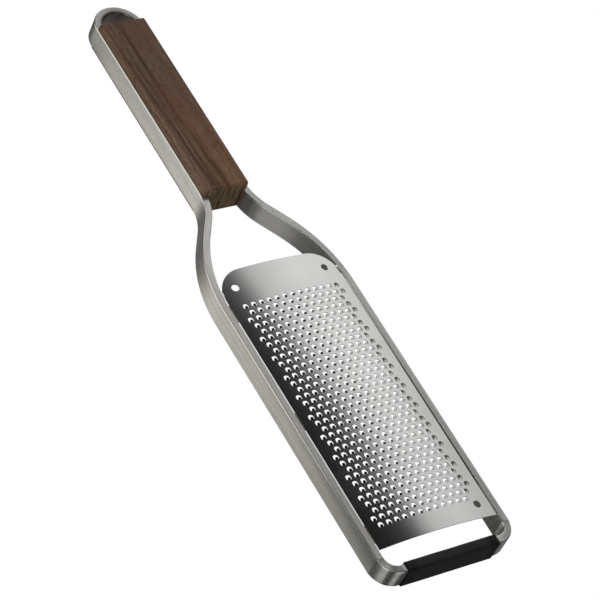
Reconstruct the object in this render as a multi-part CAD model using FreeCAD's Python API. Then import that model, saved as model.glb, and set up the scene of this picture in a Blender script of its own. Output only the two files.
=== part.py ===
import FreeCAD, Part
import math
import os

# Rasp zester of the wide paddle kind. One flat steel bar, bent on edge into a closed loop, is hanging loop,
# handle frame and head in one. An arched, toothed blade is tacked between the sides of the head, a grooved
# walnut block fills the handle, and a rubber sleeve covers the weld that closes the bar at the toe.
# +X points to the toe, +Y to the left of a user who looks along the tool to the toe, and +Z up.
# The origin is the middle of the underside. Lengths are millimetres, angles are radians.

Vec = FreeCAD.Vector
ALONG = Vec(1, 0, 0)
UP = Vec(0, 0, 1)

# The whole tool
overall_length = 331.6
head_width = 72.0
handle_width = 26.0

# The bar: its section, and its bends on the middle of its thickness unless a comment says otherwise
bar_thickness = 3.85
bar_height = 11.1
bar_edge_radius = 0.4
head_length = 148.5          # outer face of the toe to the start of the shoulder bends
toe_corner_radius = 9.6      # on the outer face
shoulder_radius = 74.5
neck_radius = 30.3
flare_straight = 10.3        # straight run between a neck bend and its shoulder bend
weld_gap = 2.0               # between the bar's two ends, filled by the toe weld

# The rubber sleeve on the toe
sleeve_wall = 0.75
sleeve_clearance = 0.1
sleeve_edge_radius = 1.3
sleeve_end_clear = 2.0       # from each end of the sleeve to the toe's corner bend

# The walnut handle
handle_rise = 3.65           # above the bar's top edge
handle_inset = 0.3           # of the lips from the bar's outer faces
handle_clearance = 0.1       # between the grooves and the bar
handle_edge_radius = 1.7     # along the top, and across its end at the head
handle_corner_radius = 2.2   # of the lips' corners at the head
handle_foot_radius = 0.3     # along the underside
neck_cover = 4.6             # length of the neck bends that the handle's lips reach over

# The blade
blade_thickness = 0.4
blade_rise = 2.6             # of the arch, from the side edges to the crown
blade_lift = 0.1             # of the side edges above the bar's top edge
blade_side_gap = 0.3
blade_toe_gap = 9.5
blade_past_shoulder = 18.3   # from the start of the shoulder bends to the blade's end at the handle
blade_corner_lag = 5.0       # from the start of the shoulder bends to the blade's rounded corners
corner_ease = 0.02           # of the corners' roundings past the blade's edges, so that they cross
hole_diameter = 3.75
hole_side_inset = 7.35
hole_handle_inset = 9.2
toe_hole_inset = 7.1
toe_hole_side_inset = 6.85

# The teeth: openings in staggered rows, each with a raised tongue that points to the handle
row_pitch = 3.717
column_pitch = 4.18
opening_length = 2.65
opening_width = 2.85
opening_chamfer = 0.9        # of the opening's corners at the handle side
tooth_handle_margin = 19.8   # from the blade's end at the handle to the middle of the first row
tooth_toe_margin = 10.9
tooth_side_margin = 6.65     # from the blade's side edge to the last tooth of a row that isn't shifted
tongue_reach = 1.05
tongue_width = 1.4
tongue_thickness = 0.32
tongue_step = 0.05           # of the tongue's root below the blade's top face
tongue_root = 0.08           # of the tongue into the blade
tongue_angle = math.radians(27)
row_shift_shares = (0, 1 / 3, -1 / 3)

# The tack welds under the blade's side edges
tack_radius = 1.8
tack_length = 6.0            # between the middles of its round ends
tack_place_shares = (0.06, 0.5, 0.94)

fillet_limit_share = 0.9     # of the corner or wall that a fillet runs into, at most
overrun = 5.0                # of a cut past what it cuts

# Places along and across the tool
toe_line = overall_length / 2 - sleeve_wall - sleeve_clearance - bar_thickness / 2
head_line = (head_width - bar_thickness) / 2
leg_line = (handle_width - bar_thickness) / 2
corner_line_radius = toe_corner_radius - bar_thickness / 2
corner_x = toe_line - corner_line_radius
shoulder_x = toe_line + bar_thickness / 2 - head_length
loop_x = handle_width / 2 - overall_length / 2

# The flare turns by the angle that carries the legs' spacing out to the head's
bend_radii = neck_radius + shoulder_radius
flare_reach = math.hypot(bend_radii, flare_straight)
flare_angle = (math.acos((bend_radii - (head_line - leg_line)) / flare_reach)
               - math.atan2(flare_straight, bend_radii))
neck_x = shoulder_x - bend_radii * math.sin(flare_angle) - flare_straight * math.cos(flare_angle)

# Heights: the sleeve and the handle's lower lip share the underside
bar_bottom = sleeve_wall + sleeve_clearance
bar_top = bar_bottom + bar_height
bar_edge = min(bar_edge_radius, fillet_limit_share * bar_thickness / 2)

# The blade lies on a cylinder whose axis runs along X below the tool
blade_half = head_width / 2 - bar_thickness - blade_side_gap
blade_toe_x = toe_line - bar_thickness / 2 - blade_toe_gap
blade_handle_x = shoulder_x - blade_past_shoulder
blade_corner_radius = blade_past_shoulder - blade_corner_lag
blade_edge_z = bar_top + blade_lift
arch_radius = (blade_half ** 2 + blade_rise ** 2) / (2 * blade_rise)
arch_z = blade_edge_z + blade_rise - arch_radius
arch_axis = Vec(0, 0, arch_z)
underside_radius = arch_radius - blade_thickness

# The pattern of teeth fills what its margins leave
row_count = int((blade_toe_x - blade_handle_x - tooth_handle_margin - tooth_toe_margin) / row_pitch) + 1
column_count = int(2 * (blade_half - tooth_side_margin) / column_pitch) + 1
last_row_x = blade_toe_x - tooth_toe_margin
first_row_x = last_row_x - (row_count - 1) * row_pitch


def line(start, end):
    return Part.LineSegment(start, end).toShape()


def arc(middle, radius, start, end, side):
    """An arc in the plane of the bar's lower edge, by angles from +X, mirrored in Y where side is -1."""
    def point(angle):
        across = middle[1] + radius * math.sin(angle)
        return Vec(middle[0] + radius * math.cos(angle), side * across, bar_bottom)
    return Part.Arc(point(start), point((start + end) / 2), point(end)).toShape()


def bar_face_line(offset, side):
    """One face of half the bar in plan, offset outwards from the bar's middle line, loop to toe."""
    quarter = math.pi / 2
    loop = arc((loop_x, 0), leg_line + offset, 2 * quarter, quarter, side)
    neck = arc((neck_x, leg_line + neck_radius), neck_radius - offset,
               -quarter, flare_angle - quarter, side)
    shoulder = arc((shoulder_x, head_line - shoulder_radius), shoulder_radius + offset,
                   quarter + flare_angle, quarter, side)
    corner = arc((corner_x, head_line - corner_line_radius), corner_line_radius + offset, quarter, 0, side)
    bar_end = Vec(toe_line + offset, side * weld_gap / 2, bar_bottom)
    bends = [loop, neck, shoulder, corner]
    runs = [line(before.lastVertex().Point, after.firstVertex().Point)
            for before, after in zip(bends, bends[1:])]
    return bends + runs + [line(corner.lastVertex().Point, bar_end)]


def soften(solid, radius, keep):
    """Rounds the edges that keep accepts."""
    return solid.makeFillet(radius, [edge for edge in solid.Edges if keep(edge)])


def runs_along_y(edge):
    box = edge.BoundBox
    return box.YLength > max(box.XLength, box.ZLength)


def is_level(edge):
    box = edge.BoundBox
    return box.ZLength < bar_edge


def make_frame_bar():
    """The bar, open at the toe by the weld's gap, with its long edges eased."""
    outside, inside = bar_thickness / 2, -bar_thickness / 2
    edges = []
    for side in (1, -1):
        edges += bar_face_line(outside, side) + bar_face_line(inside, side)
        end_y = side * weld_gap / 2
        end_corners = [Vec(toe_line + offset, end_y, bar_bottom) for offset in (outside, inside)]
        edges.append(line(*end_corners))
    section = Part.Face(Part.Wire(Part.__sortEdges__(edges)))
    bar = section.extrude(UP * bar_height)

    def is_long_edge(edge):
        box = edge.BoundBox
        at_the_gap = box.YMin > -weld_gap and box.YMax < weld_gap and box.YLength < bar_edge
        return is_level(edge) and not at_the_gap
    return soften(bar, bar_edge, is_long_edge)


def make_toe_weld():
    """The weld, ground flush with the bar."""
    corner = Vec(toe_line - bar_thickness / 2, -weld_gap / 2, bar_bottom)
    weld = Part.makeBox(bar_thickness, weld_gap, bar_height, corner)

    def is_long_edge(edge):
        box = edge.BoundBox
        return box.XLength < bar_edge and box.ZLength < bar_edge
    return soften(weld, bar_edge, is_long_edge)


def sleeve_block(wall, length, radius):
    """A rounded block around the toe of the bar, that much larger than the bar all round."""
    corner = Vec(toe_line - bar_thickness / 2 - wall, -length / 2, bar_bottom - wall)
    block = Part.makeBox(bar_thickness + 2 * wall, length, bar_height + 2 * wall, corner)
    return soften(block, radius, runs_along_y)


def make_toe_sleeve():
    length = head_width - 2 * (toe_corner_radius + sleeve_end_clear)
    wall = sleeve_wall + sleeve_clearance
    radius = min(sleeve_edge_radius, fillet_limit_share * (bar_thickness / 2 + wall))
    outside = sleeve_block(wall, length, radius)
    inside = sleeve_block(sleeve_clearance, length + overrun, bar_edge + sleeve_clearance)
    return outside.cut(inside)


def make_walnut_handle():
    """A block with a groove along each side, in which the legs of the bar lie."""
    half_width = handle_width / 2 - handle_inset
    head_end = neck_x + neck_cover
    length = head_end - loop_x
    top = bar_top + handle_rise
    lip = handle_rise - handle_clearance
    lower_lip = bar_bottom - handle_clearance
    block = Part.makeBox(length, 2 * half_width, top, Vec(loop_x, -half_width, 0))

    def is_upright_at_head(edge):
        box = edge.BoundBox
        return box.ZLength > lip and box.XMin > loop_x

    def is_top_edge(edge):
        box = edge.BoundBox
        return box.ZMin > top - lip and box.XMax > loop_x + lip

    def is_foot_edge(edge):
        box = edge.BoundBox
        return box.ZMax < lower_lip and box.XLength > length / 2

    block = soften(block, handle_corner_radius, is_upright_at_head)
    top_radius = min(handle_edge_radius, fillet_limit_share * min(handle_corner_radius, lip))
    block = soften(block, top_radius, is_top_edge)
    block = soften(block, min(handle_foot_radius, fillet_limit_share * lower_lip), is_foot_edge)
    core_half = leg_line - bar_thickness / 2 - handle_clearance
    groove_height = bar_height + 2 * handle_clearance
    for side in (1, -1):
        groove = Part.makeBox(length + 2 * overrun, handle_width, groove_height)
        across = core_half if side > 0 else -core_half - handle_width
        groove.translate(Vec(loop_x - overrun, across, bar_bottom - handle_clearance))
        block = block.cut(groove)
    return block


def arched_sheet(start, end):
    """A full-width length of the blade from one X to another."""
    def on_arch(radius, y):
        return Vec(start, y, arch_z + math.sqrt(radius ** 2 - y ** 2))

    def across(radius):
        points = [on_arch(radius, y) for y in (-blade_half, 0, blade_half)]
        return Part.Arc(*points).toShape()

    def down(y):
        return line(on_arch(arch_radius, y), on_arch(underside_radius, y))
    sides = [down(-blade_half), down(blade_half)]
    edges = [across(arch_radius), across(underside_radius)] + sides
    section = Part.Face(Part.Wire(Part.__sortEdges__(edges)))
    return section.extrude(ALONG * (end - start))


def make_opening():
    """The cut of one tooth at the blade's crown, with the row at X = 0."""
    half_length, half_width = opening_length / 2, opening_width / 2
    chamfer = min(opening_chamfer, fillet_limit_share * min(half_width, opening_length))
    depth = blade_thickness + 2 * overrun
    bottom = arch_z + arch_radius - blade_thickness - overrun
    plan = [(half_length, half_width), (chamfer - half_length, half_width)]
    plan.append((-half_length, half_width - chamfer))
    plan += [(x, -y) for x, y in reversed(plan)]
    corners = [Vec(x, y, bottom) for x, y in plan]
    return Part.Face(Part.makePolygon(corners + corners[:1])).extrude(UP * depth)


def make_tongue():
    """The raised tongue at the toe side of that opening: a thin slope with a round tip."""
    root_x = opening_length / 2
    root_z = arch_z + arch_radius - tongue_step
    slope = math.tan(tongue_angle)
    thickness = tongue_thickness / math.cos(tongue_angle)
    tip_x = root_x - 2 * tongue_reach
    buried_x = root_x + tongue_root

    def corner(x, drop):
        return Vec(x, -tongue_width / 2, root_z + (root_x - x) * slope - drop)
    corners = [corner(buried_x, 0), corner(tip_x, 0), corner(tip_x, thickness), corner(buried_x, thickness)]
    slab = Part.Face(Part.makePolygon(corners + corners[:1])).extrude(Vec(0, tongue_width, 0))
    round_tip = Part.makeCylinder(tongue_reach, 2 * overrun, Vec(root_x, 0, root_z - overrun))
    return slab.common(round_tip)


def make_tooth_row(shift, teeth):
    """A row of that many teeth, counted from the -Y side, with the sheet around it, centred on X = 0."""
    row = arched_sheet(-row_pitch / 2, row_pitch / 2)
    places = [(column - (column_count - 1) / 2) * column_pitch + shift for column in range(teeth)]

    def along_arch(tool):
        turns = [-math.degrees(place / arch_radius) for place in places]
        return [tool.rotated(arch_axis, ALONG, turn) for turn in turns]
    return row.cut(along_arch(make_opening())).fuse(along_arch(make_tongue())).Solids[0]


def skin(solid, joints):
    """The faces of a length of the blade, without its ends at the X of the joints to its neighbours."""
    def is_joint(face):
        box = face.BoundBox
        return any(max(abs(box.XMin - x), abs(box.XMax - x)) < tongue_step for x in joints)
    return [face for face in solid.Faces if not is_joint(face)]


def tooth_row_skin(shift, teeth):
    return skin(make_tooth_row(shift, teeth), [-row_pitch / 2, row_pitch / 2])


def blade_end(start, end, places):
    """A plain end of the blade with a round hole at each place."""
    sheet = arched_sheet(start, end)
    drill = Part.makeCylinder(hole_diameter / 2, 2 * overrun, Vec(0, 0, blade_edge_z - overrun))
    return sheet.cut([drill.translated(Vec(x, y, 0)) for x, y in places])


def corner_cutter(side):
    """What is cut off to round a corner of the blade's end at the handle."""
    radius = blade_corner_radius
    inset = radius * (1 - math.cos(math.pi / 4))

    def at(x, y):
        return Vec(blade_handle_x - corner_ease + x, side * (blade_half + corner_ease + y), arch_z)
    rounding = Part.Arc(at(0, -radius), at(inset, -inset), at(radius, 0)).toShape()
    corners = [at(radius, 0), at(radius, overrun), at(-overrun, overrun),
               at(-overrun, -radius), at(0, -radius)]
    sides = [line(before, after) for before, after in zip(corners, corners[1:])]
    return Part.Face(Part.Wire(Part.__sortEdges__([rounding] + sides))).extrude(UP * 2 * arch_radius)


def make_etched_blade():
    """The blade: a plain end at the handle, the rows of teeth, and a plain end at the toe."""
    field_start = first_row_x - row_pitch / 2
    field_end = last_row_x + row_pitch / 2
    hole_x = blade_handle_x + hole_handle_inset
    hole_y = blade_half - hole_side_inset
    toe_hole = (blade_toe_x - toe_hole_inset, blade_half - toe_hole_side_inset)
    handle_end = blade_end(blade_handle_x, field_start, [(hole_x, hole_y), (hole_x, -hole_y)])
    toe_end = blade_end(field_end, blade_toe_x, [toe_hole])

    handle_end = handle_end.cut([corner_cutter(side) for side in (1, -1)])

    faces = skin(handle_end, [field_start]) + skin(toe_end, [field_end])
    shifts = [share * column_pitch for share in row_shift_shares]
    full_rows = [tooth_row_skin(shift, column_count) for shift in shifts]
    for row in range(row_count - 1):
        place = Vec(first_row_x + row * row_pitch, 0, 0)
        faces += [face.translated(place) for face in full_rows[row % len(shifts)]]
    # The toe's hole takes the place of the last row's last tooth
    last_row = tooth_row_skin(shifts[(row_count - 1) % len(shifts)], column_count - 1)
    faces += [face.translated(Vec(last_row_x, 0, 0)) for face in last_row]
    sheet = Part.makeCompound(faces)
    sheet.sewShape()
    return Part.Solid(sheet.Shells[0])


def make_tack(x, side):
    """A bead in the corner between the blade's underside and the bar's inner face."""
    wall_y = head_width / 2 - bar_thickness
    start = Vec(x - tack_length / 2, side * wall_y, blade_edge_z - blade_thickness)
    end = start + ALONG * tack_length
    bead = Part.makeCylinder(tack_radius, tack_length, start, ALONG)
    ends = [Part.makeSphere(tack_radius, start), Part.makeSphere(tack_radius, end)]
    bead = bead.fuse(ends).removeSplitter()
    reach = tack_length + 2 * overrun
    first_x = x - reach / 2
    below_blade = Part.makeCylinder(underside_radius, reach, Vec(first_x, 0, arch_z), ALONG)
    between_bars = Part.makeBox(reach, 2 * wall_y, bar_height, Vec(first_x, -wall_y, bar_bottom))
    return bead.common(below_blade).common(between_bars)


def make_blade_tack_welds():
    straight_start = shoulder_x - blade_corner_lag
    places = [straight_start + share * (blade_toe_x - straight_start) for share in tack_place_shares]
    return Part.makeCompound([make_tack(x, side).Solids[0] for x in places for side in (1, -1)])


os.makedirs("parts", exist_ok=True)
parts = {
    "frame_bar": make_frame_bar(),
    "toe_weld": make_toe_weld(),
    "toe_sleeve": make_toe_sleeve(),
    "walnut_handle": make_walnut_handle(),
    "etched_blade": make_etched_blade(),
    "blade_tack_welds": make_blade_tack_welds(),
}
for name, shape in parts.items():
    shape.exportStep(f"parts/{name}.step")
    print(name, len(shape.Solids), "solid(s)", round(shape.Volume, 1), "mm3")
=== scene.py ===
import math

import bmesh
import bpy
from bpy.props import FloatProperty, FloatVectorProperty, IntProperty, PointerProperty
from mathutils import Matrix, Vector


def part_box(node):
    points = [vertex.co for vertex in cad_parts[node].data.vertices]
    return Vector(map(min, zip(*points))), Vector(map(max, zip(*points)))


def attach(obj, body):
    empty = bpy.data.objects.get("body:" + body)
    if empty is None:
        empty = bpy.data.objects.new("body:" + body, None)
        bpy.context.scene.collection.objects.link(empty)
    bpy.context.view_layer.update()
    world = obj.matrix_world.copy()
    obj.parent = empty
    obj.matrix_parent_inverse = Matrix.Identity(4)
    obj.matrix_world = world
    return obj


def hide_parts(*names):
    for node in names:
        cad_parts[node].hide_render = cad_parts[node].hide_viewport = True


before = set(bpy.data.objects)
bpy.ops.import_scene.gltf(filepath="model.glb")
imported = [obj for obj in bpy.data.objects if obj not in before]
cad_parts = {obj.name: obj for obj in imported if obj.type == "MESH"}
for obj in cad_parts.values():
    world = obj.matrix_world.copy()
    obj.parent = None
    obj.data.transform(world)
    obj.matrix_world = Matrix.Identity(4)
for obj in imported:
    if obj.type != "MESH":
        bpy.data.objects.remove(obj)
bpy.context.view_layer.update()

bl_info = {
    "name": "Rasp Zester",
    "version": (1, 0, 0),
    "blender": (4, 5, 0),
    "location": "View3D > Sidebar > Zester",
    "description": "Dresses a paddle rasp zester: bent bar, toothed blade, walnut handle, rubber toe sleeve",
    "category": "Add Mesh",
}

BAR_LOW, BAR_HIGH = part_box("frame_bar")
BAR_MIDDLE = (BAR_LOW + BAR_HIGH) / 2
BLADE_LOW, BLADE_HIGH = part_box("etched_blade")
HANDLE_LOW, HANDLE_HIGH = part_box("walnut_handle")
SLEEVE_LOW, SLEEVE_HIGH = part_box("toe_sleeve")
MM = 0.001
TINY = 1e-6

# Facets in the roundings of the bar's long edges, and so the points round its section
EDGE_FACETS = 3
SECTION_POINTS = 4 * (EDGE_FACETS + 1)
# Facets in the bar's bends and in the blade's round holes
LOOP_FACETS = 28
NECK_FACETS = 16
SHOULDER_FACETS = 20
CORNER_FACETS = 20
HOLE_FACETS = 40


def length(name, millimetres, description):
    return FloatProperty(name=name, description=description, default=millimetres * MM,
                         min=0, precision=5, subtype="DISTANCE", unit="LENGTH")


def power(name, watts, description):
    return FloatProperty(name=name, description=description, default=watts,
                         min=0, precision=3, subtype="POWER", unit="POWER")


def colour(name, value, description):
    return FloatVectorProperty(name=name, description=description, default=value,
                               size=3, min=0, max=1, subtype="COLOR")


def group(name, kind):
    return PointerProperty(name=name, description=kind.__doc__, type=kind)


class ZesterBar(bpy.types.PropertyGroup):
    """Section and bends of the bar"""
    thickness: length("Thickness", 3.85, "Thickness of the bar between its two wide faces")
    outer_edge: length("Outer edge", 0.5, "Rounding of the bar's long edges on its outer face")
    inner_edge: length("Inner edge", 0.65, "Rounding of the bar's long edges on its inner face")
    dip: length("Dip", 0.45, "Drop of the outer edges in the middle of the toe's tight corners")
    handle_width: length("Handle width", 26.0, "Width of the loop over the bar's outer faces")
    head_length: length("Head length", 148.5, "Toe to the start of the shoulder bends")
    toe_corner: length("Toe corner", 9.6, "Radius of the toe's corners on the outer face")
    shoulder: length("Shoulder", 74.5, "Radius of the shoulder bends on the middle of the bar")
    neck: length("Neck", 30.3, "Radius of the neck bends on the middle of the bar")
    flare: length("Flare", 10.3, "Straight run between a neck bend and its shoulder bend")
    weld_gap: length("Weld gap", 2.0, "Gap between the bar's ends that the toe weld fills")


class ZesterBlade(bpy.types.PropertyGroup):
    """Sheet and teeth of the blade"""
    thickness: length("Thickness", 0.4, "Thickness of the sheet")
    rise: length("Rise", 2.6, "Height of the arch over its side edges")
    drop: length("Drop", 0.13, "Side edges below the bar's top edge")
    tilt: length("Tilt", 0.1, "Rise of the blade's end at the handle over its end at the toe")
    corner: length("Corner", 13.3, "Radius of the corners at the handle end")
    hole: length("Hole", 3.75, "Diameter of the round holes")
    hole_inset: length("Hole inset", 9.2, "Handle-end holes from the blade's end")
    hole_side: length("Hole side", 7.35, "Handle-end holes from the blade's side edges")
    toe_hole_inset: length("Toe hole inset", 7.1, "Toe hole from the blade's end")
    toe_hole_side: length("Toe hole side", 6.85, "Toe hole from the blade's side edge")
    row_pitch: length("Row pitch", 3.717, "Distance between rows of teeth")
    column_pitch: length("Column pitch", 4.18, "Distance between teeth in a row")
    toe_margin: length("Toe margin", 10.9, "Last row of teeth from the blade's end at the toe")
    opening_length: length("Opening length", 2.58, "Length of a tooth's opening along the tool")
    opening_width: length("Opening width", 2.6, "Width of a tooth's opening")
    opening_round: length("Opening round", 1.15, "Rounding of the opening's corners at the handle side")
    opening_corner: length("Opening corner", 0.45, "Cut corners of the opening at the toe side")
    tongue_reach: length("Tongue reach", 1.05, "Length of a tooth's tongue")
    tongue_width: length("Tongue width", 1.4, "Width of a tooth's tongue")
    tongue_rise: length("Tongue rise", 0.48, "Height of a tongue's tip over the sheet")
    rows: IntProperty(name="Rows", description="Rows of teeth, one more than a multiple of three",
                      default=34, min=4)
    columns: IntProperty(name="Columns", description="Teeth in a full row", default=13, min=2)


class ZesterHandle(bpy.types.PropertyGroup):
    """Block of the handle"""
    core: length("Core", 18.1, "Width of the core between the grooves")
    lower_lip: length("Lower lip", 0.75, "Thickness of the lips under the bar")
    groove: length("Groove", 11.3, "Height of the grooves")
    corner: length("Corner", 2.2, "Rounding of the lips' corners at the head")
    edge: length("Edge", 1.7, "Rounding along the top and across its end at the head")
    foot: length("Foot", 0.3, "Rounding along the underside")
    shadow: length("Shadow line", 0.4, "Rounding of the upper lips' lower edges over the bar")


class ZesterSleeve(bpy.types.PropertyGroup):
    """Rubber tube on the toe"""
    wall: length("Wall", 0.75, "Thickness of the rubber")
    edge: length("Edge", 1.3, "Rounding of the tube's long edges")
    sag: length("Sag", 0.12, "Depth of the shallow waves in the rubber")


class ZesterFinish(bpy.types.PropertyGroup):
    """Colours of the finishes"""
    steel_dark: colour("Steel, dark", (0.55, 0.538, 0.518), "Satin bar, darker grain")
    steel_light: colour("Steel, light", (0.84, 0.82, 0.79), "Satin bar, lighter grain")
    steel_worn: colour("Steel, worn", (0.80, 0.785, 0.765), "Satin bar, rubbed long edges")
    # The next colour is painted shade along the inner edges of the loop
    steel_loop_edge_shade: colour("Steel, grime", (0.20, 0.19, 0.18), "Satin bar, dirt along the loop's inner edge")
    # The next colour is painted shade in the gap beside the blade
    steel_gap_shade: colour("Steel, by the blade", (0.06, 0.057, 0.054), "Dirt in the gap beside the blade")
    blade_dark: colour("Blade, dark", (0.70, 0.695, 0.68), "Blade sheet, darker grain")
    blade_light: colour("Blade, light", (0.76, 0.755, 0.74), "Blade sheet, lighter grain")
    walnut_light: colour("Walnut, light", (0.215, 0.140, 0.104), "Early wood of the handle")
    walnut_mid: colour("Walnut, middle", (0.122, 0.069, 0.040), "Common tone of the handle")
    walnut_dark: colour("Walnut, dark", (0.040, 0.019, 0.011), "Late wood and pores of the handle")
    walnut_red: colour("Walnut, red", (0.135, 0.060, 0.037), "Reddish patches of the handle")
    walnut_end: colour("Walnut, end", (0.205, 0.137, 0.072), "Olive tone of the handle's end grain")
    walnut_pale: colour("Walnut, pale end", (0.29, 0.205, 0.12), "Palest rings of the handle's end grain")
    # The next colour is painted shade at the sleeve's two ends
    rubber_end_shade: colour("Rubber, clean", (0.002, 0.002, 0.002), "Sleeve, its two ends")
    rubber_dark: colour("Rubber, dark", (0.006, 0.006, 0.006), "Sleeve, common tone")
    rubber_dusty: colour("Rubber, dusty", (0.017, 0.017, 0.0165), "Sleeve, rubbed and dusty places")
    tint_straw: colour("Tint, straw", (0.52, 0.47, 0.38), "Heat tint at the rim of a tack weld")
    tint_brown: colour("Tint, brown", (0.33, 0.27, 0.20), "Heat tint on a tack weld")


class ZesterStage(bpy.types.PropertyGroup):
    """Camera, lights and floor"""
    eye: FloatVectorProperty(name="Eye", description="Place of the camera", size=3, subtype="TRANSLATION",
                             unit="LENGTH", default=(0.584728, -0.684354, 0.907134))
    lens: FloatProperty(name="Lens", description="Focal length of the camera", subtype="DISTANCE_CAMERA",
                        unit="CAMERA", default=167.924, min=1)
    key: power("Key", 6.0, "Power of the key light")
    fill: power("Fill", 2.0, "Power of the fill light")
    floor: length("Floor", 1500, "Radius of the floor")


class ZesterSettings(bpy.types.PropertyGroup):
    """Sizes, colours and stage of the zester"""
    bar: group("Bar", ZesterBar)
    blade: group("Blade", ZesterBlade)
    handle: group("Handle", ZesterHandle)
    sleeve: group("Sleeve", ZesterSleeve)
    finish: group("Finish", ZesterFinish)
    stage: group("Stage", ZesterStage)


# Modelling


def only(piece):
    """Makes the piece the one selected object."""
    bpy.ops.object.select_all(action="DESELECT")
    piece.select_set(True)
    bpy.context.view_layer.objects.active = piece


def apply_place():
    """Moves the selected objects' place, turn and scale into their meshes."""
    bpy.ops.object.transform_apply(location=True, rotation=True, scale=True)


def start(primitive, name, **settings):
    """Adds a primitive and opens it in edit mode, selected all over."""
    bpy.ops.object.select_all(action="DESELECT")
    primitive(**settings)
    piece = bpy.context.object
    piece.name = piece.data.name = name
    apply_place()
    bpy.ops.object.mode_set(mode="EDIT")
    pick_all()
    return piece


def edit(piece):
    only(piece)
    bpy.ops.object.mode_set(mode="EDIT")
    pick_all()


def leave():
    bpy.ops.object.mode_set(mode="OBJECT")


def pick_all():
    bpy.ops.mesh.select_all(action="SELECT")


def pick(kind, test):
    """Selects, in edit mode, the vertices, edges or faces that pass a test of the item and its corners."""
    mesh = bpy.context.edit_object.data
    bpy.ops.mesh.select_mode(type=kind)
    bpy.ops.mesh.select_all(action="DESELECT")
    shape = bmesh.from_edit_mesh(mesh)
    items = {"VERT": shape.verts, "EDGE": shape.edges, "FACE": shape.faces}[kind]
    found = [item for item in items
             if test(item, [item.co] if kind == "VERT" else [corner.co for corner in item.verts])]
    if not found:
        raise RuntimeError(f"nothing to select on {bpy.context.edit_object.name}")
    for item in found:
        item.select_set(True)
    shape.select_flush_mode()
    bmesh.update_edit_mesh(mesh)


def all_at(corners, axis, value):
    return all(abs(corner[axis] - value) < TINY for corner in corners)


def push(x=0, y=0, z=0):
    """Extrudes the selection by that much."""
    bpy.ops.mesh.extrude_region_move(TRANSFORM_OT_translate={"value": (x, y, z)})


def bend(turn, centre, steps):
    """Spins the selected section about an upright line, counterclockwise from above."""
    bpy.ops.mesh.spin(steps=steps, angle=-turn, center=(*centre, 0), axis=(0, 0, 1))


def finish_with(piece, kind, **settings):
    """Adds a modifier and applies it."""
    only(piece)
    modifier = piece.modifiers.new(kind, kind)
    for key, value in settings.items():
        setattr(modifier, key, value)
    bpy.ops.object.modifier_apply(modifier=modifier.name)


def repeat(piece, count, step):
    """Lays copies of the piece side by side and joins them where they meet."""
    finish_with(piece, "ARRAY", count=count, use_relative_offset=False, use_constant_offset=True,
                constant_offset_displace=step, use_merge_vertices=True, merge_threshold=TINY)


def face_outwards():
    """Turns all faces outwards, in edit mode."""
    pick_all()
    bpy.ops.mesh.normals_make_consistent(inside=False)


def merge(piece):
    edit(piece)
    bpy.ops.mesh.remove_doubles(threshold=TINY)
    face_outwards()
    leave()


def smooth(piece, degrees):
    only(piece)
    bpy.ops.object.shade_smooth_by_angle(angle=math.radians(degrees))


def keep_flats(piece):
    """Weighs the normals by the size of the faces, so that broad ones stay flat beside roundings."""
    finish_with(piece, "WEIGHTED_NORMAL", keep_sharp=True, weight=50)


def copy(piece, name):
    """A copy with a mesh of its own."""
    only(piece)
    bpy.ops.object.duplicate(linked=False)
    twin = bpy.context.object
    twin.name = twin.data.name = name
    return twin


def move(piece, x=0, y=0, z=0, turn=(0, 0, 0)):
    """Turns the mesh about the origin's axes, then shifts it."""
    piece.location = (x, y, z)
    piece.rotation_euler = turn
    only(piece)
    apply_place()


def join(first, others):
    bpy.ops.object.select_all(action="DESELECT")
    for piece in [first, *others]:
        piece.select_set(True)
    bpy.context.view_layer.objects.active = first
    bpy.ops.object.join()


def settle(piece, material, slot, *nodes):
    """Gives a finished piece its material and its place in the frame."""
    piece.data.materials.clear()
    piece.data.materials.append(material)
    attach(piece, "root")
    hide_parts(*nodes)


# Materials


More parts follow.
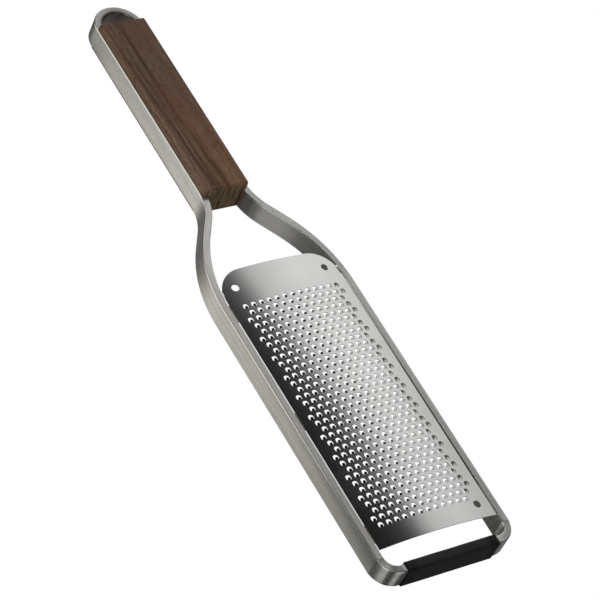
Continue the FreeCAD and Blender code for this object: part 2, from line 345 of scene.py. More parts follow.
class Recipe:
    """A node tree with short ways to add and link its nodes."""

    def __init__(self, tree):
        self.tree = tree
        tree.nodes.clear()

    def add(self, kind, inputs=None, **settings):
        node = self.tree.nodes.new(kind)
        for key, value in settings.items():
            setattr(node, key, value)
        for socket, value in (inputs or {}).items():
            if isinstance(value, bpy.types.NodeSocket):
                self.tree.links.new(value, node.inputs[socket])
            else:
                node.inputs[socket].default_value = value
        return node

    def split(self, vector):
        return self.add("ShaderNodeSeparateXYZ", {0: vector}).outputs

    def between(self, value, first, last, low=0.0, high=1.0):
        """Goes from low to high while the value goes from first to last, and stays there."""
        return self.add("ShaderNodeMapRange", {0: value, 1: first, 2: last, 3: low, 4: high}).outputs[0]

    def noise(self, place, scale, detail=3.0, roughness=0.5, distortion=0.0):
        """Noise whose cells are as many per metre along each axis as scale says."""
        mapping = self.add("ShaderNodeMapping", {"Vector": place, "Scale": scale})
        texture = self.add("ShaderNodeTexNoise", {
            "Vector": mapping.outputs[0], "Scale": 1.0, "Detail": detail,
            "Roughness": roughness, "Distortion": distortion})
        return texture.outputs["Fac"]

    def ramp(self, factor, *stops):
        """Colours or greys at their places along the factor."""
        node = self.add("ShaderNodeValToRGB", {"Fac": factor})
        elements = node.color_ramp.elements
        while len(elements) < len(stops):
            elements.new(1.0)
        for element, (place, value) in zip(elements, stops):
            element.position = place
            tone = (value,) * 3 if isinstance(value, float) else tuple(value)
            element.color = (*tone, 1.0)
        return node.outputs["Color"]

    def mix(self, factor, one, other, blend="MIX"):
        node = self.add("ShaderNodeMix", data_type="RGBA", blend_type=blend)
        for socket, value in zip((node.inputs[0], node.inputs[6], node.inputs[7]), (factor, one, other)):
            if isinstance(value, bpy.types.NodeSocket):
                self.tree.links.new(value, socket)
            elif isinstance(value, float):
                socket.default_value = value
            else:
                socket.default_value = (*value, 1.0)
        return node.outputs[2]

    def maths(self, operation, one, other=0.0, third=0.0):
        return self.add("ShaderNodeMath", {0: one, 1: other, 2: third}, operation=operation).outputs[0]

    def product(self, first, *others):
        for other in others:
            first = self.maths("MULTIPLY", first, other)
        return first

    def bump(self, height, distance, strength):
        inputs = {"Height": height, "Distance": distance, "Strength": strength}
        return self.add("ShaderNodeBump", inputs).outputs[0]

    def surface(self, **sockets):
        """The surface shader, by its sockets' names with spaces as underscores."""
        inputs = {key.replace("_", " "): value for key, value in sockets.items()}
        shader = self.add("ShaderNodeBsdfPrincipled", inputs)
        self.add("ShaderNodeOutputMaterial", {"Surface": shader.outputs[0]})


def new_recipe(name):
    material = bpy.data.materials.new(name)
    material.use_nodes = True
    return material, Recipe(material.node_tree)


def object_place(recipe):
    return recipe.add("ShaderNodeTexCoord").outputs["Object"]


# Stretches of the bar, measured along it from the crown of the loop
HAND_REACH = 120 * MM
BESIDE_BLADE = (190 * MM, 340 * MM)
TOE_CORNER = (326 * MM, 347 * MM)
# Where a finish starts and is full: wear from the bar's long edges, painted shade from its inner face and
# from its top
WEAR_REACH = (0.6 * MM, 0.2 * MM)
GAP_SHADE_REACH = (0.5 * MM, 0.22 * MM)
GAP_SHADE_DEPTH = (1.3 * MM, 0.9 * MM)


def satin_steel(finish, half_thickness):
    """Bar stock with a satin grain that follows the bends, bright edges, darker towards the loop, and painted
    shade along the loop's inner edges and in the gap beside the blade.
    """
    material, recipe = new_recipe("satin_bar_steel")
    place = recipe.add("ShaderNodeAttribute", attribute_name="unbent").outputs["Vector"]
    run, through, up = recipe.split(place)
    either_way = recipe.maths("ABSOLUTE", run)
    line = recipe.noise(place, (7, 1700, 1700), 4.0, 0.65)
    grain = recipe.noise(place, (80, 3200, 3200), 3.0, 0.6)
    mottle = recipe.noise(place, (700, 1100, 1100), 3.0, 0.6)
    scratch = recipe.noise(place, (120, 5200, 5200), 2.0, 0.5)
    tone = recipe.mix(0.25, recipe.mix(0.4, line, grain), mottle)
    satin = recipe.ramp(tone, (0.38, finish.steel_dark), (0.62, finish.steel_light))
    by_loop = recipe.between(run, -HAND_REACH, HAND_REACH)
    # Darker round the loop's crown, back to full along the legs
    loop_darkening = recipe.ramp(by_loop, (0.0, 1.0), (0.42, 0.62), (0.52, 0.66), (0.72, 0.92), (1.0, 1.0))
    satin = recipe.mix(1.0, satin, loop_darkening, "MULTIPLY")

    over_middle = recipe.maths("ABSOLUTE", recipe.maths("SUBTRACT", up, BAR_MIDDLE.z))
    off_centre = recipe.maths("ABSOLUTE", through)
    by_face, by_top = (recipe.between(distance, *[edge - reach for reach in WEAR_REACH])
                       for distance, edge in ((off_centre, half_thickness),
                                              (over_middle, BAR_HIGH.z - BAR_MIDDLE.z)))
    worn = recipe.product(by_face, by_top)

    # Painted shade along the inner top and bottom edges of the loop
    in_loop = recipe.ramp(by_loop, (0.34, 0.0), (0.42, 1.0), (0.56, 1.0), (0.64, 0.0))
    to_outside = recipe.between(through, -half_thickness, half_thickness)
    shade_in_loop = recipe.product(in_loop, recipe.ramp(to_outside, (0.22, 0.95), (0.4, 0.0)), by_top)

    # Painted shade in the gap beside the blade, on the inner face just under the top
    beside = recipe.between(either_way, *BESIDE_BLADE)
    beside = recipe.ramp(beside, (0.05, 0.0), (0.4, 1.0), (0.8, 1.0), (0.86, 0.0))
    shade_by_blade = recipe.product(beside, recipe.between(through, *[reach - half_thickness for reach in GAP_SHADE_REACH]),
                          recipe.between(up, *[BAR_HIGH.z - depth for depth in GAP_SHADE_DEPTH]))

    bent = recipe.between(either_way, *TOE_CORNER)
    bent = recipe.ramp(bent, (0.0, 0.0), (0.25, 1.0), (0.75, 1.0), (1.0, 0.0))
    edge_rough = recipe.between(through, -half_thickness, half_thickness, 0.2, 0.1)
    rough = recipe.mix(worn, recipe.ramp(tone, (0.3, 0.35), (0.7, 0.27)), edge_rough)
    rough = recipe.mix(recipe.product(bent, by_top), rough, (0.25, 0.25, 0.25))
    satin = recipe.mix(shade_in_loop, recipe.mix(worn, satin, finish.steel_worn), finish.steel_loop_edge_shade)
    satin = recipe.mix(shade_by_blade, satin, finish.steel_gap_shade)
    height = recipe.mix(0.4, grain, scratch)
    along = recipe.add("ShaderNodeTangent", direction_type="UV_MAP", uv_map="lengthwise")
    recipe.surface(Base_Color=satin, Metallic=1.0, Roughness=rough, Anisotropic=0.95,
                   Anisotropic_Rotation=0.25, Tangent=along.outputs[0],
                   Normal=recipe.bump(height, 0.03 * MM, 0.2))
    return material


def blade_steel(finish):
    """Bright etched sheet, almost a mirror, with a faint rolled grain and a slack stretch halfway."""
    material, recipe = new_recipe("etched_blade_steel")
    place = object_place(recipe)
    grain = recipe.noise(place, (20, 1200, 300), 3.0, 0.55)
    cloud = recipe.noise(place, (50, 50, 50), 2.0, 0.5)
    tone = recipe.mix(0.6, grain, cloud)
    colour_now = recipe.ramp(tone, (0.35, finish.blade_dark), (0.65, finish.blade_light))
    rough = recipe.ramp(cloud, (0.3, 0.125), (0.7, 0.105))
    x, y = recipe.split(place)[:2]
    to_toe = recipe.between(x, BLADE_LOW.x, BLADE_HIGH.x)
    slack = recipe.ramp(to_toe, (0.18, 0.0), (0.34, 0.6), (0.6, 1.0), (0.73, 0.8), (0.86, 0.0))
    lean = recipe.bump(recipe.product(y, slack), 12 * MM, 1.0)
    recipe.surface(Base_Color=colour_now, Metallic=1.0, Roughness=rough, Normal=lean)
    return material


# Tone of the walnut across the handle, from the -Y lip to the other: late wood is low. The first two stops
# are part wood tone, part a painted highlight along the -Y lip's rounded edge
BANDS_AND_LIP_HIGHLIGHT = ((0.0, 0.78), (0.09, 0.66), (0.13, 0.24), (0.16, 0.45), (0.21, 0.60), (0.25, 0.27),
                (0.28, 0.50), (0.34, 0.45), (0.365, 0.13), (0.395, 0.18), (0.43, 0.52), (0.58, 0.62),
                (0.72, 0.52), (0.84, 0.62), (1.0, 0.55))
# Sides of the board that they lie across, its lean along the handle, and their sway
BOARD = (-5 * MM, 22.5 * MM)
BOARD_LEAN = -0.05
BAND_SWAY = 5 * MM
# Where along the handle the wood begins to grow lighter and yellower towards the head
LIGHTER_FROM = -110 * MM


def oiled_walnut(finish):
    """Walnut with its grain along the handle: bands that drift across it, streaks, pores, olive end grain,
    lighter towards the head, and a painted highlight along the -Y lip.
    """
    material, recipe = new_recipe("oiled_walnut")
    coordinates = recipe.add("ShaderNodeTexCoord")
    place = coordinates.outputs["Object"]
    x, y = recipe.split(place)[:2]
    facing_head = recipe.split(coordinates.outputs["Normal"])["X"]
    sway = recipe.noise(place, (24, 90, 60), 3.0, 0.55)
    drift = recipe.maths("MULTIPLY_ADD", x, BOARD_LEAN, y)
    across = recipe.maths("MULTIPLY_ADD", sway, BAND_SWAY, drift)
    board = recipe.between(across, *BOARD)
    # The light band at the -Y lip is partly a painted highlight
    bands = recipe.ramp(board, *BANDS_AND_LIP_HIGHLIGHT)
    streak = recipe.ramp(recipe.noise(place, (18, 760, 150), 4.0, 0.65, 0.25), (0.36, 0.0), (0.64, 1.0))
    fibre = recipe.ramp(recipe.noise(place, (240, 2300, 1100), 3.0, 0.6), (0.34, 0.0), (0.66, 1.0))
    patch = recipe.noise(place, (26, 70, 40), 2.0, 0.5)
    pores = recipe.noise(place, (420, 3000, 1400), 2.0, 0.5)
    figured = recipe.ramp(board, (0.40, 0.36), (0.55, 0.14))
    tone = recipe.mix(0.2, recipe.mix(figured, bands, streak), fibre)
    wood = recipe.ramp(tone, (0.2, finish.walnut_dark), (0.5, finish.walnut_mid), (0.82, finish.walnut_light))
    red = recipe.ramp(patch, (0.48, 0.0), (0.68, 0.6))
    wood = recipe.mix(red, wood, finish.walnut_red)
    # Lighter and yellower towards the head, away from the -Y lip
    to_head = recipe.between(x, LIGHTER_FROM, HANDLE_HIGH.x)
    head_lightening = recipe.ramp(to_head, (0.0, (1.0, 1.0, 1.0)), (0.9, (1.38, 1.28, 1.15)))
    lightened = recipe.mix(1.0, wood, head_lightening, "MULTIPLY")
    wood = recipe.mix(recipe.ramp(board, (0.16, 0.1), (0.34, 1.0)), wood, lightened)
    rings = recipe.noise(place, (60, 1100, 110), 3.0, 0.6, 0.3)
    end_wood = recipe.ramp(rings, (0.33, finish.walnut_dark), (0.48, finish.walnut_end),
                           (0.66, finish.walnut_pale))
    end_face = recipe.ramp(facing_head, (0.75, 0.0), (0.95, 1.0))
    wood = recipe.mix(end_face, wood, end_wood)
    pore_mask = recipe.ramp(pores, (0.32, 0.85), (0.43, 0.0))
    wood = recipe.mix(pore_mask, wood, finish.walnut_dark)
    rough = recipe.ramp(tone, (0.3, 0.56), (0.7, 0.46))
    height = recipe.ramp(pores, (0.32, 0.0), (0.46, 1.0))
    recipe.surface(Base_Color=wood, Roughness=rough, Specular_IOR_Level=0.22,
                   Normal=recipe.bump(height, 0.06 * MM, 0.4))
    return material


def matt_rubber(finish):
    """Black rubber with a fine skin, paler rubbed places, and painted shade darkening its two ends."""
    material, recipe = new_recipe("matt_black_rubber")
    place = object_place(recipe)
    skin = recipe.noise(place, (2600, 2600, 2600), 3.0, 0.6)
    rubbed = recipe.noise(place, (90, 60, 140), 3.0, 0.6)
    body = recipe.ramp(rubbed, (0.4, finish.rubber_dark), (0.68, finish.rubber_dusty))
    # Painted shade: darker over the last few millimetres of each end, with a ragged edge
    from_middle = recipe.maths("ABSOLUTE", recipe.split(place)["Y"])
    reach = recipe.maths("DIVIDE", from_middle, SLEEVE_HIGH.y)
    ragged = recipe.maths("MULTIPLY_ADD", rubbed, 0.12, reach)
    shade_at_ends = recipe.ramp(ragged, (0.84, 0.0), (0.90, 1.0))
    colour_now = recipe.mix(shade_at_ends, body, finish.rubber_end_shade)
    rough = recipe.ramp(rubbed, (0.35, 0.5), (0.7, 0.66))
    recipe.surface(Base_Color=colour_now, Roughness=rough, Specular_IOR_Level=0.4,
                   Normal=recipe.bump(skin, 0.06 * MM, 0.35))
    return material


def tinted_weld(finish):
    """Tack weld with rippled metal and the browns and straws of its heat."""
    material, recipe = new_recipe("heat_tinted_tack_weld")
    place = object_place(recipe)
    ripple = recipe.noise(place, (900, 250, 250), 3.0, 0.5, 0.5)
    cloud = recipe.noise(place, (260, 400, 400), 2.0, 0.5)
    colour_now = recipe.ramp(cloud, (0.34, finish.tint_brown), (0.55, finish.tint_straw),
                             (0.72, finish.steel_dark))
    rough = recipe.ramp(ripple, (0.3, 0.35), (0.7, 0.55))
    recipe.surface(Base_Color=colour_now, Metallic=1.0, Roughness=rough,
                   Normal=recipe.bump(ripple, 0.1 * MM, 0.6))
    return material


def ground_weld(finish):
    """Butt weld ground flush, with cross scratches from the wheel."""
    material, recipe = new_recipe("ground_toe_weld")
    place = object_place(recipe)
    scratch = recipe.noise(place, (3200, 3200, 60), 3.0, 0.6)
    colour_now = recipe.ramp(scratch, (0.35, finish.steel_dark), (0.65, finish.steel_light))
    rough = recipe.ramp(scratch, (0.3, 0.5), (0.7, 0.36))
    recipe.surface(Base_Color=colour_now, Metallic=1.0, Roughness=rough,
                   Normal=recipe.bump(scratch, 0.05 * MM, 0.5))
    return material


# Pieces


def sweep_bar(size):
    """One half of the bar, from the loop's crown round to the toe's weld, as an open tube."""
    half = size.thickness / 2
    leg_y = size.handle_width / 2 - half
    head_y = BAR_HIGH.y - half
    toe_x = BAR_HIGH.x - half
    loop_x = BAR_LOW.x + size.handle_width / 2
    shoulder_x = BAR_HIGH.x - size.head_length
    corner_radius = size.toe_corner - half
    corner_x = toe_x - corner_radius
    radii = size.neck + size.shoulder
    reach = math.hypot(radii, size.flare)
    flare_turn = math.acos((radii - head_y + leg_y) / reach) - math.atan2(size.flare, radii)
    neck_x = shoulder_x - radii * math.sin(flare_turn) - size.flare * math.cos(flare_turn)
    bar = start(bpy.ops.mesh.primitive_plane_add, "bent_bar", size=1, rotation=(math.pi / 2, 0, 0),
                location=(loop_x - leg_y, 0, BAR_MIDDLE.z))
    bpy.ops.transform.resize(value=(size.thickness, 1, BAR_HIGH.z - BAR_LOW.z))
    for side, radius in ((-1, size.outer_edge), (1, size.inner_edge)):
        pick("VERT", lambda vertex, corners: all_at(corners, 0, loop_x - leg_y + side * half))
        bpy.ops.mesh.bevel(offset=radius, segments=EDGE_FACETS, affect="VERTICES")
    pick_all()
    bpy.ops.mesh.delete(type="ONLY_FACE")
    pick_all()
    bend(-math.pi / 2, (loop_x, 0), LOOP_FACETS)
    push(x=neck_x - loop_x)
    bend(flare_turn, (neck_x, leg_y + size.neck), NECK_FACETS)
    push(x=size.flare * math.cos(flare_turn), y=size.flare * math.sin(flare_turn))
    bend(-flare_turn, (shoulder_x, head_y - size.shoulder), SHOULDER_FACETS)
    push(x=corner_x - shoulder_x)
    bend(-math.pi / 2, (corner_x, head_y - corner_radius), CORNER_FACETS)
    push(y=size.weld_gap / 2 - head_y + corner_radius)
    leave()
    return bar


def dip_corner(size):
    """Draws the outer edges of the toe's corner in, as a bar bent on edge thins on its outer side."""
    centre = BAR_HIGH.xy - Vector((size.toe_corner, size.toe_corner))
    radius = size.toe_corner - size.thickness / 2
    for facet in range(1, CORNER_FACETS):
        turn = facet / CORNER_FACETS * math.pi / 2
        for side in (1, -1):
            def is_outer(vertex, corners):
                out = corners[0].xy - centre
                return (out.length > radius and side * (corners[0].z - BAR_MIDDLE.z) > 0
                        and abs(math.atan2(out.y, out.x) - turn) < TINY * 100)
            pick("VERT", is_outer)
            bpy.ops.transform.translate(value=(0, 0, -side * size.dip * math.sqrt(math.sin(2 * turn))))


def mark_grain(bar, size):
    """Keeps each point's place along, through and up the bar as if it were straight, for its grain."""
    points = bar.data.vertices
    rings = [points[first:first + SECTION_POINTS] for first in range(0, len(points), SECTION_POINTS)]
    middles = [sum((point.co for point in ring), Vector()) / SECTION_POINTS for ring in rings]
    off_centre = BAR_LOW.x + size.thickness / 2 - middles[0].x
    unbent = bar.data.attributes.new("unbent", "FLOAT_VECTOR", "POINT")
    lengthwise = bar.data.uv_layers.new(name="lengthwise")
    run = 0.0
    for place, ring in enumerate(rings):
        before, after = middles[max(place - 1, 0)], middles[min(place + 1, len(rings) - 1)]
        outward = Vector((before.y - after.y, after.x - before.x))
        if place:
            run += (middles[place] - before).length
        for point in ring:
            aside = point.co.xy - middles[place].xy
            through = off_centre + math.copysign(aside.length, aside.dot(outward))
            unbent.data[point.index].vector = (run, through, point.co.z)
    for corner in bar.data.loops:
        run, through, up = unbent.data[corner.vertex_index].vector
        around = math.atan2(up - middles[0].z, through)
        lengthwise.data[corner.index].uv = (run, around * size.thickness)


class ZESTER_OT_bar(bpy.types.Operator):
    """Bends the flat bar into the loop, legs, flare, head and toe"""
    bl_idname = "zester.bar"
    bl_label = "Bent Bar"

    def execute(self, context):
        settings = context.scene.zester
        bar = sweep_bar(settings.bar)
        mark_grain(bar, settings.bar)
        edit(bar)
        dip_corner(settings.bar)
        pick("EDGE", lambda edge, ends: all_at(ends, 1, settings.bar.weld_gap / 2))
        bpy.ops.mesh.edge_face_add()
        leave()
        finish_with(bar, "MIRROR", use_axis=(False, True, False), use_clip=False, merge_threshold=TINY)
        for point, mark in zip(bar.data.vertices, bar.data.attributes["unbent"].data):
            if point.co.y < -TINY:
                mark.vector = (-mark.vector[0], mark.vector[1], mark.vector[2])
        merge(bar)
        smooth(bar, 40)
        keep_flats(bar)
        settle(bar, satin_steel(settings.finish, settings.bar.thickness / 2), "satin_bar", "frame_bar")
        return {"FINISHED"}


# A tongue's steps from its root to its tip: share of its reach, share of its width
TONGUE_SHARES = ((0.45, 0.98), (0.75, 0.8), (0.93, 0.5), (1.0, 0.2))
# Lines in the plain sheet beside the teeth, as shares of its width
SIDE_SHARES = (0, 0.3, 0.55, 0.75, 0.9, 1)


def model_tooth(size):
    """One tooth in its patch of flat sheet: a rounded opening with a raised tongue on its toe side."""
    tooth = start(bpy.ops.mesh.primitive_grid_add, "tooth", x_subdivisions=1, y_subdivisions=3, size=1)
    bpy.ops.transform.resize(value=(size.row_pitch, size.column_pitch, 1))
    bpy.ops.mesh.dissolve_faces()
    bpy.ops.mesh.delete(type="ONLY_FACE")
    bpy.ops.mesh.select_all(action="DESELECT")
    bpy.ops.mesh.primitive_plane_add(size=1)
    bpy.ops.transform.resize(value=(size.opening_length, size.opening_width, 1))
    bpy.ops.mesh.delete(type="ONLY_FACE")
    toe_x = size.opening_length / 2
    half_width = size.opening_width / 2
    for side, offset, segments in ((-1, size.opening_round, 3), (1, size.opening_corner, 1)):
        pick("VERT", lambda vertex, corners: all_at(corners, 0, side * toe_x)
             and abs(abs(corners[0].y) - half_width) < TINY)
        bpy.ops.mesh.bevel(offset=offset, segments=segments, affect="VERTICES")
    pick("EDGE", lambda edge, ends: all_at(ends, 0, toe_x))
    bpy.ops.mesh.subdivide(number_cuts=2)
    root = (size.opening_width - 2 * size.opening_corner) / 3
    pick("VERT", lambda vertex, corners: all_at(corners, 0, toe_x) and abs(corners[0].y) < root)
    bpy.ops.transform.resize(value=(1, size.tongue_width / root, 1))
    pick_all()
    bpy.ops.mesh.bridge_edge_loops()
    pick("EDGE", lambda edge, ends: all_at(ends, 0, toe_x) and all(abs(end.y) < root * 2 for end in ends)
         and abs(ends[0].y + ends[1].y) < TINY)
    travelled, width = 0.0, 1.0
    for reached, share_of_width in TONGUE_SHARES:
        push(x=(travelled - reached) * size.tongue_reach, z=(reached - travelled) * size.tongue_rise)
        bpy.ops.transform.resize(value=(1, share_of_width / width, 1))
        travelled, width = reached, share_of_width
    leave()
    return tooth


def lay_row(tooth, size, name, thirds, teeth, side_lines):
    """A row of teeth, moved by thirds of their pitch, with plain sheet out to the blade's side edges."""
    row = copy(tooth, name)
    repeat(row, teeth, (0, size.column_pitch, 0))
    third = size.column_pitch / 3
    first_y = (1 - size.columns) / 2 * size.column_pitch + thirds * third
    move(row, y=first_y)
    edit(row)
    low_y = first_y - size.column_pitch / 2
    high_y = low_y + teeth * size.column_pitch
    missing = (size.columns - teeth) * 3
    for side, edge_y, count in ((-1, low_y, 1 + thirds), (1, high_y, 1 - thirds + missing)):
        pick("EDGE", lambda edge, ends: all_at(ends, 1, edge_y))
        for _ in range(count):
            push(y=side * third)
        for before, after in zip(side_lines, side_lines[1:]):
            push(y=side * (after - before))
    leave()
    return row


def lay_sheet(size, half_width):
    """The whole blade as one flat sheet without thickness, its crown at the origin's height."""
    tooth = model_tooth(size)
    plain_from = (size.columns / 2 + 1 / 3) * size.column_pitch
    side_lines = [plain_from + share * (half_width - plain_from) for share in SIDE_SHARES]
    rows = [lay_row(tooth, size, f"row_{thirds}", thirds, size.columns, side_lines) for thirds in (0, 1, -1)]
    last = lay_row(tooth, size, "row_last", 0, size.columns - 1, side_lines)
    last_x = BLADE_HIGH.x - size.toe_margin
    first_x = last_x - (size.rows - 1) * size.row_pitch
    for place, row in enumerate(rows):
        move(row, x=first_x + place * size.row_pitch)
    move(last, x=last_x)
    sheet = rows[0]
    join(sheet, rows[1:])
    repeat(sheet, (size.rows - 1) // len(rows), (len(rows) * size.row_pitch, 0, 0))
    join(sheet, [last])
    only(tooth)
    bpy.ops.object.delete()
    sheet.name = sheet.data.name = "toothed_blade"
    edit(sheet)
    bpy.ops.mesh.remove_doubles(threshold=TINY)
    half_row = size.row_pitch / 2
    for edge_x, end_x in ((last_x + half_row, BLADE_HIGH.x), (first_x - half_row, BLADE_LOW.x)):
        pick("EDGE", lambda edge, ends: all_at(ends, 0, edge_x))
        for _ in range(2):
            push(x=(end_x - edge_x) / 2)
    round_corners(size, half_width)
    face_outwards()
    leave()
    if sum(face.normal.z for face in sheet.data.polygons) < 0:
        edit(sheet)
        bpy.ops.mesh.flip_normals()
        leave()
    return sheet


def round_corners(size, half_width):
    """Draws the handle end's points back onto the roundings of its corners."""
    centre_y = half_width - size.corner
    shape = bmesh.from_edit_mesh(bpy.context.edit_object.data)
    ends = [vertex.co.copy() for vertex in shape.verts
            if abs(vertex.co.x - BLADE_LOW.x) < TINY and abs(vertex.co.y) > centre_y]
    for end in ends:
        out = min(abs(end.y) - centre_y, size.corner)
        back = size.corner - math.sqrt(size.corner ** 2 - out ** 2)
        pick("VERT", lambda vertex, corners: (corners[0] - end).length < TINY)
        bpy.ops.transform.translate(value=(back, 0, 0))


def drill(sheet, size, half_width):
    """Cuts the round holes through the flat sheet."""
    hole_x = BLADE_LOW.x + size.hole_inset
    hole_y = half_width - size.hole_side
    toe_hole = (BLADE_HIGH.x - size.toe_hole_inset, half_width - size.toe_hole_side)
    drills = []
    for x, y in ((hole_x, hole_y), (hole_x, -hole_y), toe_hole):
        bpy.ops.object.select_all(action="DESELECT")
        bpy.ops.mesh.primitive_cylinder_add(vertices=HOLE_FACETS, radius=size.hole / 2, depth=size.hole,
                                            location=(x, y, 0))
        drills.append(bpy.context.object)
        apply_place()
    join(drills[0], drills[1:])
    finish_with(sheet, "BOOLEAN", operation="DIFFERENCE", object=drills[0], solver="EXACT")
    only(drills[0])
    bpy.ops.object.delete()


def tilt_sheet(sheet, turn):
    """Turns the sheet about its end at the toe, so that its end at the handle rises."""
    move(sheet, x=-BLADE_HIGH.x, z=-BAR_HIGH.z)
    move(sheet, x=BLADE_HIGH.x, z=BAR_HIGH.z, turn=(0, turn, 0))


class ZESTER_OT_blade(bpy.types.Operator):
    """Lays the toothed sheet flat, drills it and arches it across the head"""
    bl_idname = "zester.blade"
    bl_label = "Toothed Blade"

    def execute(self, context):
        settings = context.scene.zester
        size = settings.blade
        half_chord = BLADE_HIGH.y
        arch_radius = (half_chord ** 2 + size.rise ** 2) / (2 * size.rise)
        half_width = arch_radius * math.asin(half_chord / arch_radius)
        sheet = lay_sheet(size, half_width)
        finish_with(sheet, "SOLIDIFY", thickness=size.thickness, offset=-1.0, use_even_offset=False)
        drill(sheet, size, half_width)
        move(sheet, turn=(math.pi / 2, 0, 0))
        finish_with(sheet, "SIMPLE_DEFORM", deform_method="BEND", deform_axis="X",
                    angle=2 * half_width / arch_radius)
        move(sheet, turn=(-math.pi / 2, 0, 0))
        move(sheet, z=BAR_HIGH.z - size.drop + size.rise)
        tilt_sheet(sheet, size.tilt / (BLADE_HIGH.x - BLADE_LOW.x))
        merge(sheet)
        smooth(sheet, 18)
        settle(sheet, blade_steel(settings.finish), "blade_steel", "etched_blade")
        return {"FINISHED"}


def groove_block(size, groove_top):
    """The block of wood with its two grooves, sharp all over."""
    low, high = HANDLE_LOW, HANDLE_HIGH
    core_y = size.core / 2
    block = start(bpy.ops.mesh.primitive_cube_add, "walnut_block", size=1, location=(low + high) / 2,
                  scale=(high.x - low.x, size.core, high.z - low.z))
    for height in (low.z + size.lower_lip, groove_top):
        pick_all()
        bpy.ops.mesh.bisect(plane_co=(0, 0, height), plane_no=(0, 0, 1))
    for side in (1, -1):
        for bottom, top in ((low.z, low.z + size.lower_lip), (groove_top, high.z)):
            pick("FACE", lambda face, corners: all_at(corners, 1, side * core_y)
                 and all(bottom - TINY < corner.z < top + TINY for corner in corners))
            push(y=side * (high.y - core_y))
    pick_all()
    bpy.ops.mesh.remove_doubles(threshold=TINY)
    bpy.ops.mesh.dissolve_limited(angle_limit=math.radians(1))
    return block


def round_block(size, groove_top):
    """Rounds the block's edges, in edit mode. Its end at the loop stays sharp."""
    low, high = HANDLE_LOW, HANDLE_HIGH

    def at_side(ends):
        return any(all_at(ends, 1, side * high.y) for side in (1, -1))

    def upright_at_head(edge, ends):
        return all_at(ends, 0, high.x) and at_side(ends)

    def top_edge(edge, ends):
        return all_at(ends, 2, high.z) and not all_at(ends, 0, low.x)

    def foot_edge(edge, ends):
        return all_at(ends, 2, low.z) and not all_at(ends, 0, low.x)

    def lip_edge(edge, ends):
        return all_at(ends, 2, groove_top) and at_side(ends) and abs(ends[0].x - ends[1].x) > size.corner

    for test, radius, facets in ((upright_at_head, size.corner, 8), (top_edge, size.edge, 8),
                                 (foot_edge, size.foot, 3), (lip_edge, size.shadow, 3)):
        pick("EDGE", test)
        bpy.ops.mesh.bevel(offset=radius, segments=facets, affect="EDGES")


class ZESTER_OT_handle(bpy.types.Operator):
    """Shapes the walnut block with a groove along each side"""
    bl_idname = "zester.handle"
    bl_label = "Walnut Handle"

    def execute(self, context):
        settings = context.scene.zester
        size = settings.handle
        groove_top = HANDLE_LOW.z + size.lower_lip + size.groove
        block = groove_block(size, groove_top)
        round_block(size, groove_top)
        face_outwards()
        leave()
        smooth(block, 35)
        keep_flats(block)
        settle(block, oiled_walnut(settings.finish), "walnut", "walnut_handle")
        return {"FINISHED"}


# Cuts across the sleeve that let it wave, and the length of its waves
SLEEVE_CUTS = 60
SLEEVE_WAVE = 12 * MM


class ZESTER_OT_sleeve(bpy.types.Operator):
    """Shapes the rubber tube on the toe"""
    bl_idname = "zester.sleeve"
    bl_label = "Toe Sleeve"

    def execute(self, context):
        settings = context.scene.zester
        size = settings.sleeve
        tube = start(bpy.ops.mesh.primitive_cube_add, "rubber_sleeve", size=1,
                     location=(SLEEVE_LOW + SLEEVE_HIGH) / 2, scale=SLEEVE_HIGH - SLEEVE_LOW)

        def lengthwise(edge, ends):
            return abs(ends[0].y - ends[1].y) > size.wall

        pick("EDGE", lengthwise)
        bpy.ops.mesh.bevel(offset=size.edge, segments=6, affect="EDGES")
        pick("FACE", lambda face, corners: abs(face.normal.y) > 0.9)
        bpy.ops.mesh.delete(type="ONLY_FACE")
        pick("EDGE", lengthwise)
        bpy.ops.mesh.subdivide(number_cuts=SLEEVE_CUTS)
        leave()
        waves = bpy.data.textures.new("sleeve_waves", "CLOUDS")
        waves.noise_scale = SLEEVE_WAVE
        finish_with(tube, "DISPLACE", texture=waves, texture_coords="LOCAL", strength=size.sag,
                    mid_level=1.0)
        finish_with(tube, "SOLIDIFY", thickness=size.wall - size.sag, offset=-1.0)
        smooth(tube, 40)
        settle(tube, matt_rubber(settings.finish), "black_rubber", "toe_sleeve")
        return {"FINISHED"}


class ZESTER_OT_welds(bpy.types.Operator):
    """Finishes the toe weld and the blade's tack welds"""
    bl_idname = "zester.welds"
    bl_label = "Welds"

    def execute(self, context):
        finish = context.scene.zester.finish
        for node, material in (("toe_weld", ground_weld(finish)), ("blade_tack_welds", tinted_weld(finish))):
            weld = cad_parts[node]
            weld.data.materials.clear()
            weld.data.materials.append(material)
        return {"FINISHED"}


# Stage


# Brightness of the surround by direction in plan, from 0 at -X, counterclockwise from above
PANELS = ((0, 0.15), (8, 0.08), (60, 0.08), (92, 0.22), (102, 0.3), (112, 0.72), (120, 0.95), (138, 1.0),
          (146, 0.2), (152, 0.04), (170, 0.04), (180, 0.65), (188, 0.95), (198, 0.95), (204, 0.15),
          (212, 0.05), (232, 0.04), (262, 0.06), (284, 0.3), (290, 0.55), (302, 1.0), (330, 1.0),
          (340, 0.4), (350, 0.22), (360, 0.15))
SIDE_PANEL = ((0, 0.0), (14, 0.02), (20, 0.12), (27, 0.52), (34, 1.02), (43, 1.38), (50, 1.24),
              (60, 1.18), (80, 1.0), (92, 0.0))
SIDE_TINT = (1.0, 1.0, 0.915)
# Brightness of the surround by height, from the horizon up to the ceiling
WALL = ((0.0, 0.75), (0.55, 0.82), (0.65, 0.88), (0.72, 0.76), (0.768, 0.64), (0.784, 0.46), (0.80, 0.23),
        (0.815, 0.09), (0.84, 0.034), (0.86, 0.022), (0.885, 0.012), (1.0, 0.01))
# Direction of the lamp that shows in the teeth on the blade's +Y half
FAR_LAMP = (0.263, 0.686, 0.677)


